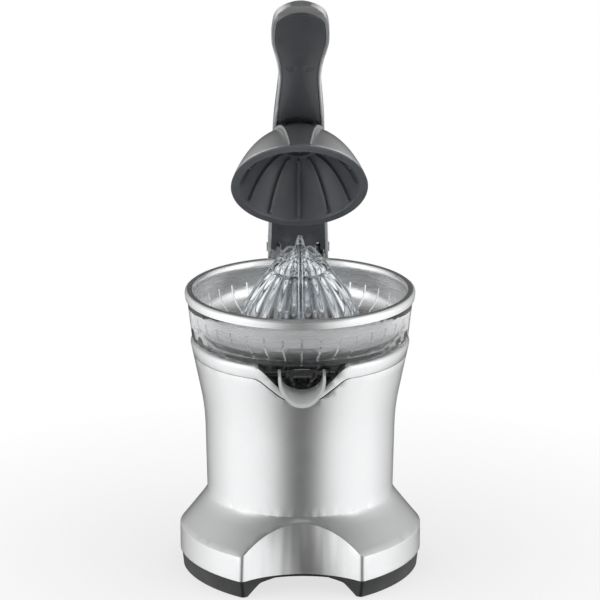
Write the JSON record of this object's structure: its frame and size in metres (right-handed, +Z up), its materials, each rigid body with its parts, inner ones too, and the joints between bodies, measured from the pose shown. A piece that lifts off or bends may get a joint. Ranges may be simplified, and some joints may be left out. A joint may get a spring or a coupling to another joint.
{
  "type": "citrus press juicer",
  "caption": "Countertop citrus press: cast body on a flared foot, clear bowl, slotted steel strainer, finned clear cone and a hinged arm with a ribbed pressing dome.",
  "frame": {"origin": "on the table, at the centre of the cone's axis", "axes": "+Z up along the cone's axis, -Y towards the spout, +X to the right as seen from the front, facing the spout"},
  "size_m": [0.2226, 0.2574, 0.5402],
  "materials": {
    "silver_paint": "die-cast, silver metallic paint, satin",
    "spine_grey": "die-cast, silver metallic paint",
    "black_plastic": "fine moulded grain",
    "dark_plastic": "soft satin dark grey",
    "black_rubber": "matt",
    "clear_plastic": "clear, polished",
    "stainless": "fine circular brushing",
    "machined_steel": "ground",
    "zinc_steel": "zinc plated",
    "bronze": "sintered",
    "gear_plastic": "moulded nylon",
    "copper_winding": "enamelled copper wire"
  },
  "bodies": {
    "body": {"base_housing": "silver_paint", "top_collar": "silver_paint", "bowl_deck": "black_plastic", "base_plate": "black_plastic", "foot_pads": "black_rubber", "base_screws": "zinc_steel", "cord_grommet": "black_rubber", "rear_column": "silver_paint", "juice_bowl": "clear_plastic", "strainer": "stainless", "spindle_spring": "zinc_steel", "spindle_bush": "bronze", "start_switch": "black_plastic", "idler_shaft": "machined_steel", "motor_can": "zinc_steel", "motor_windings": "copper_winding", "motor_bushes": "bronze", "lower_gear_plate": "zinc_steel", "upper_gear_plate": "zinc_steel", "plate_spacers": "zinc_steel", "plate_screws": "zinc_steel", "hinge_pin": "machined_steel", "hinge_caps": "machined_steel", "arm_spring": "zinc_steel", "interlock_switch": "black_plastic", "spout_pins": "machined_steel"},
    "arm": {"arm_shell": "silver_paint", "arm_liner": "dark_plastic", "liner_caps": "black_plastic", "handle_insert": "dark_plastic", "handle_plugs": "black_plastic", "dome_shell": "silver_paint", "dome_spine": "spine_grey", "dome_liner": "dark_plastic", "dome_screws": "zinc_steel", "switch_cam": "black_plastic"},
    "output_wheel": {"output_gear": "gear_plastic"},
    "spindle_and_cone": {"spindle": "machined_steel", "cone": "clear_plastic"},
    "idler": {"idler_gear": "gear_plastic"},
    "rotor": {"motor_pinion": "machined_steel", "motor_shaft": "machined_steel", "motor_fan": "black_plastic"},
    "spout": {"spout_lever": "stainless"},
    "plunger": {"switch_plunger": "black_plastic"}
  },
  "joints": [
    {"name": "arm_hinge", "type": "hinge", "parent": "body", "child": "arm", "pos_m": [0, 0.118, 0.268], "axis": [1, 0, 0], "range_deg": [0, 50], "stiffness_Nm_per_rad": 1.1, "springref_deg": -68.75},
    {"name": "cone_spin", "type": "hinge", "parent": "body", "child": "output_wheel", "pos_m": [0, 0, 0.1385], "axis": [0, 0, 1], "continuous": true},
    {"name": "spindle_press", "type": "slide", "parent": "output_wheel", "child": "spindle_and_cone", "axis": [0, 0, 1], "range_m": [-0.002, 0], "stiffness_N_per_m": 3000, "springref_m": 0.004, "deforming": ["spindle_spring"]},
    {"name": "idler_spin", "type": "hinge", "parent": "body", "child": "idler", "pos_m": [0, 0.035, 0.1335], "axis": [0, 0, 1], "continuous": true},
    {"name": "motor_spin", "type": "hinge", "parent": "body", "child": "rotor", "pos_m": [0, 0, 0.09], "axis": [0, 0, 1], "continuous": true},
    {"name": "spout_tilt", "type": "hinge", "parent": "body", "child": "spout", "pos_m": [0, -0.091, 0.2075], "axis": [-1, 0, 0], "range_deg": [0, 16]},
    {"name": "plunger_slide", "type": "slide", "parent": "body", "child": "plunger", "axis": [0, 0, -1], "range_m": [0, 0.0031]}
  ],
  "couplings": [
    {"joint": "idler_spin", "follows": "cone_spin", "ratio": -4},
    {"joint": "motor_spin", "follows": "cone_spin", "ratio": 16},
    {"joint": "plunger_slide", "follows": "arm_hinge", "m_per_rad": 0.003438}
  ]
}
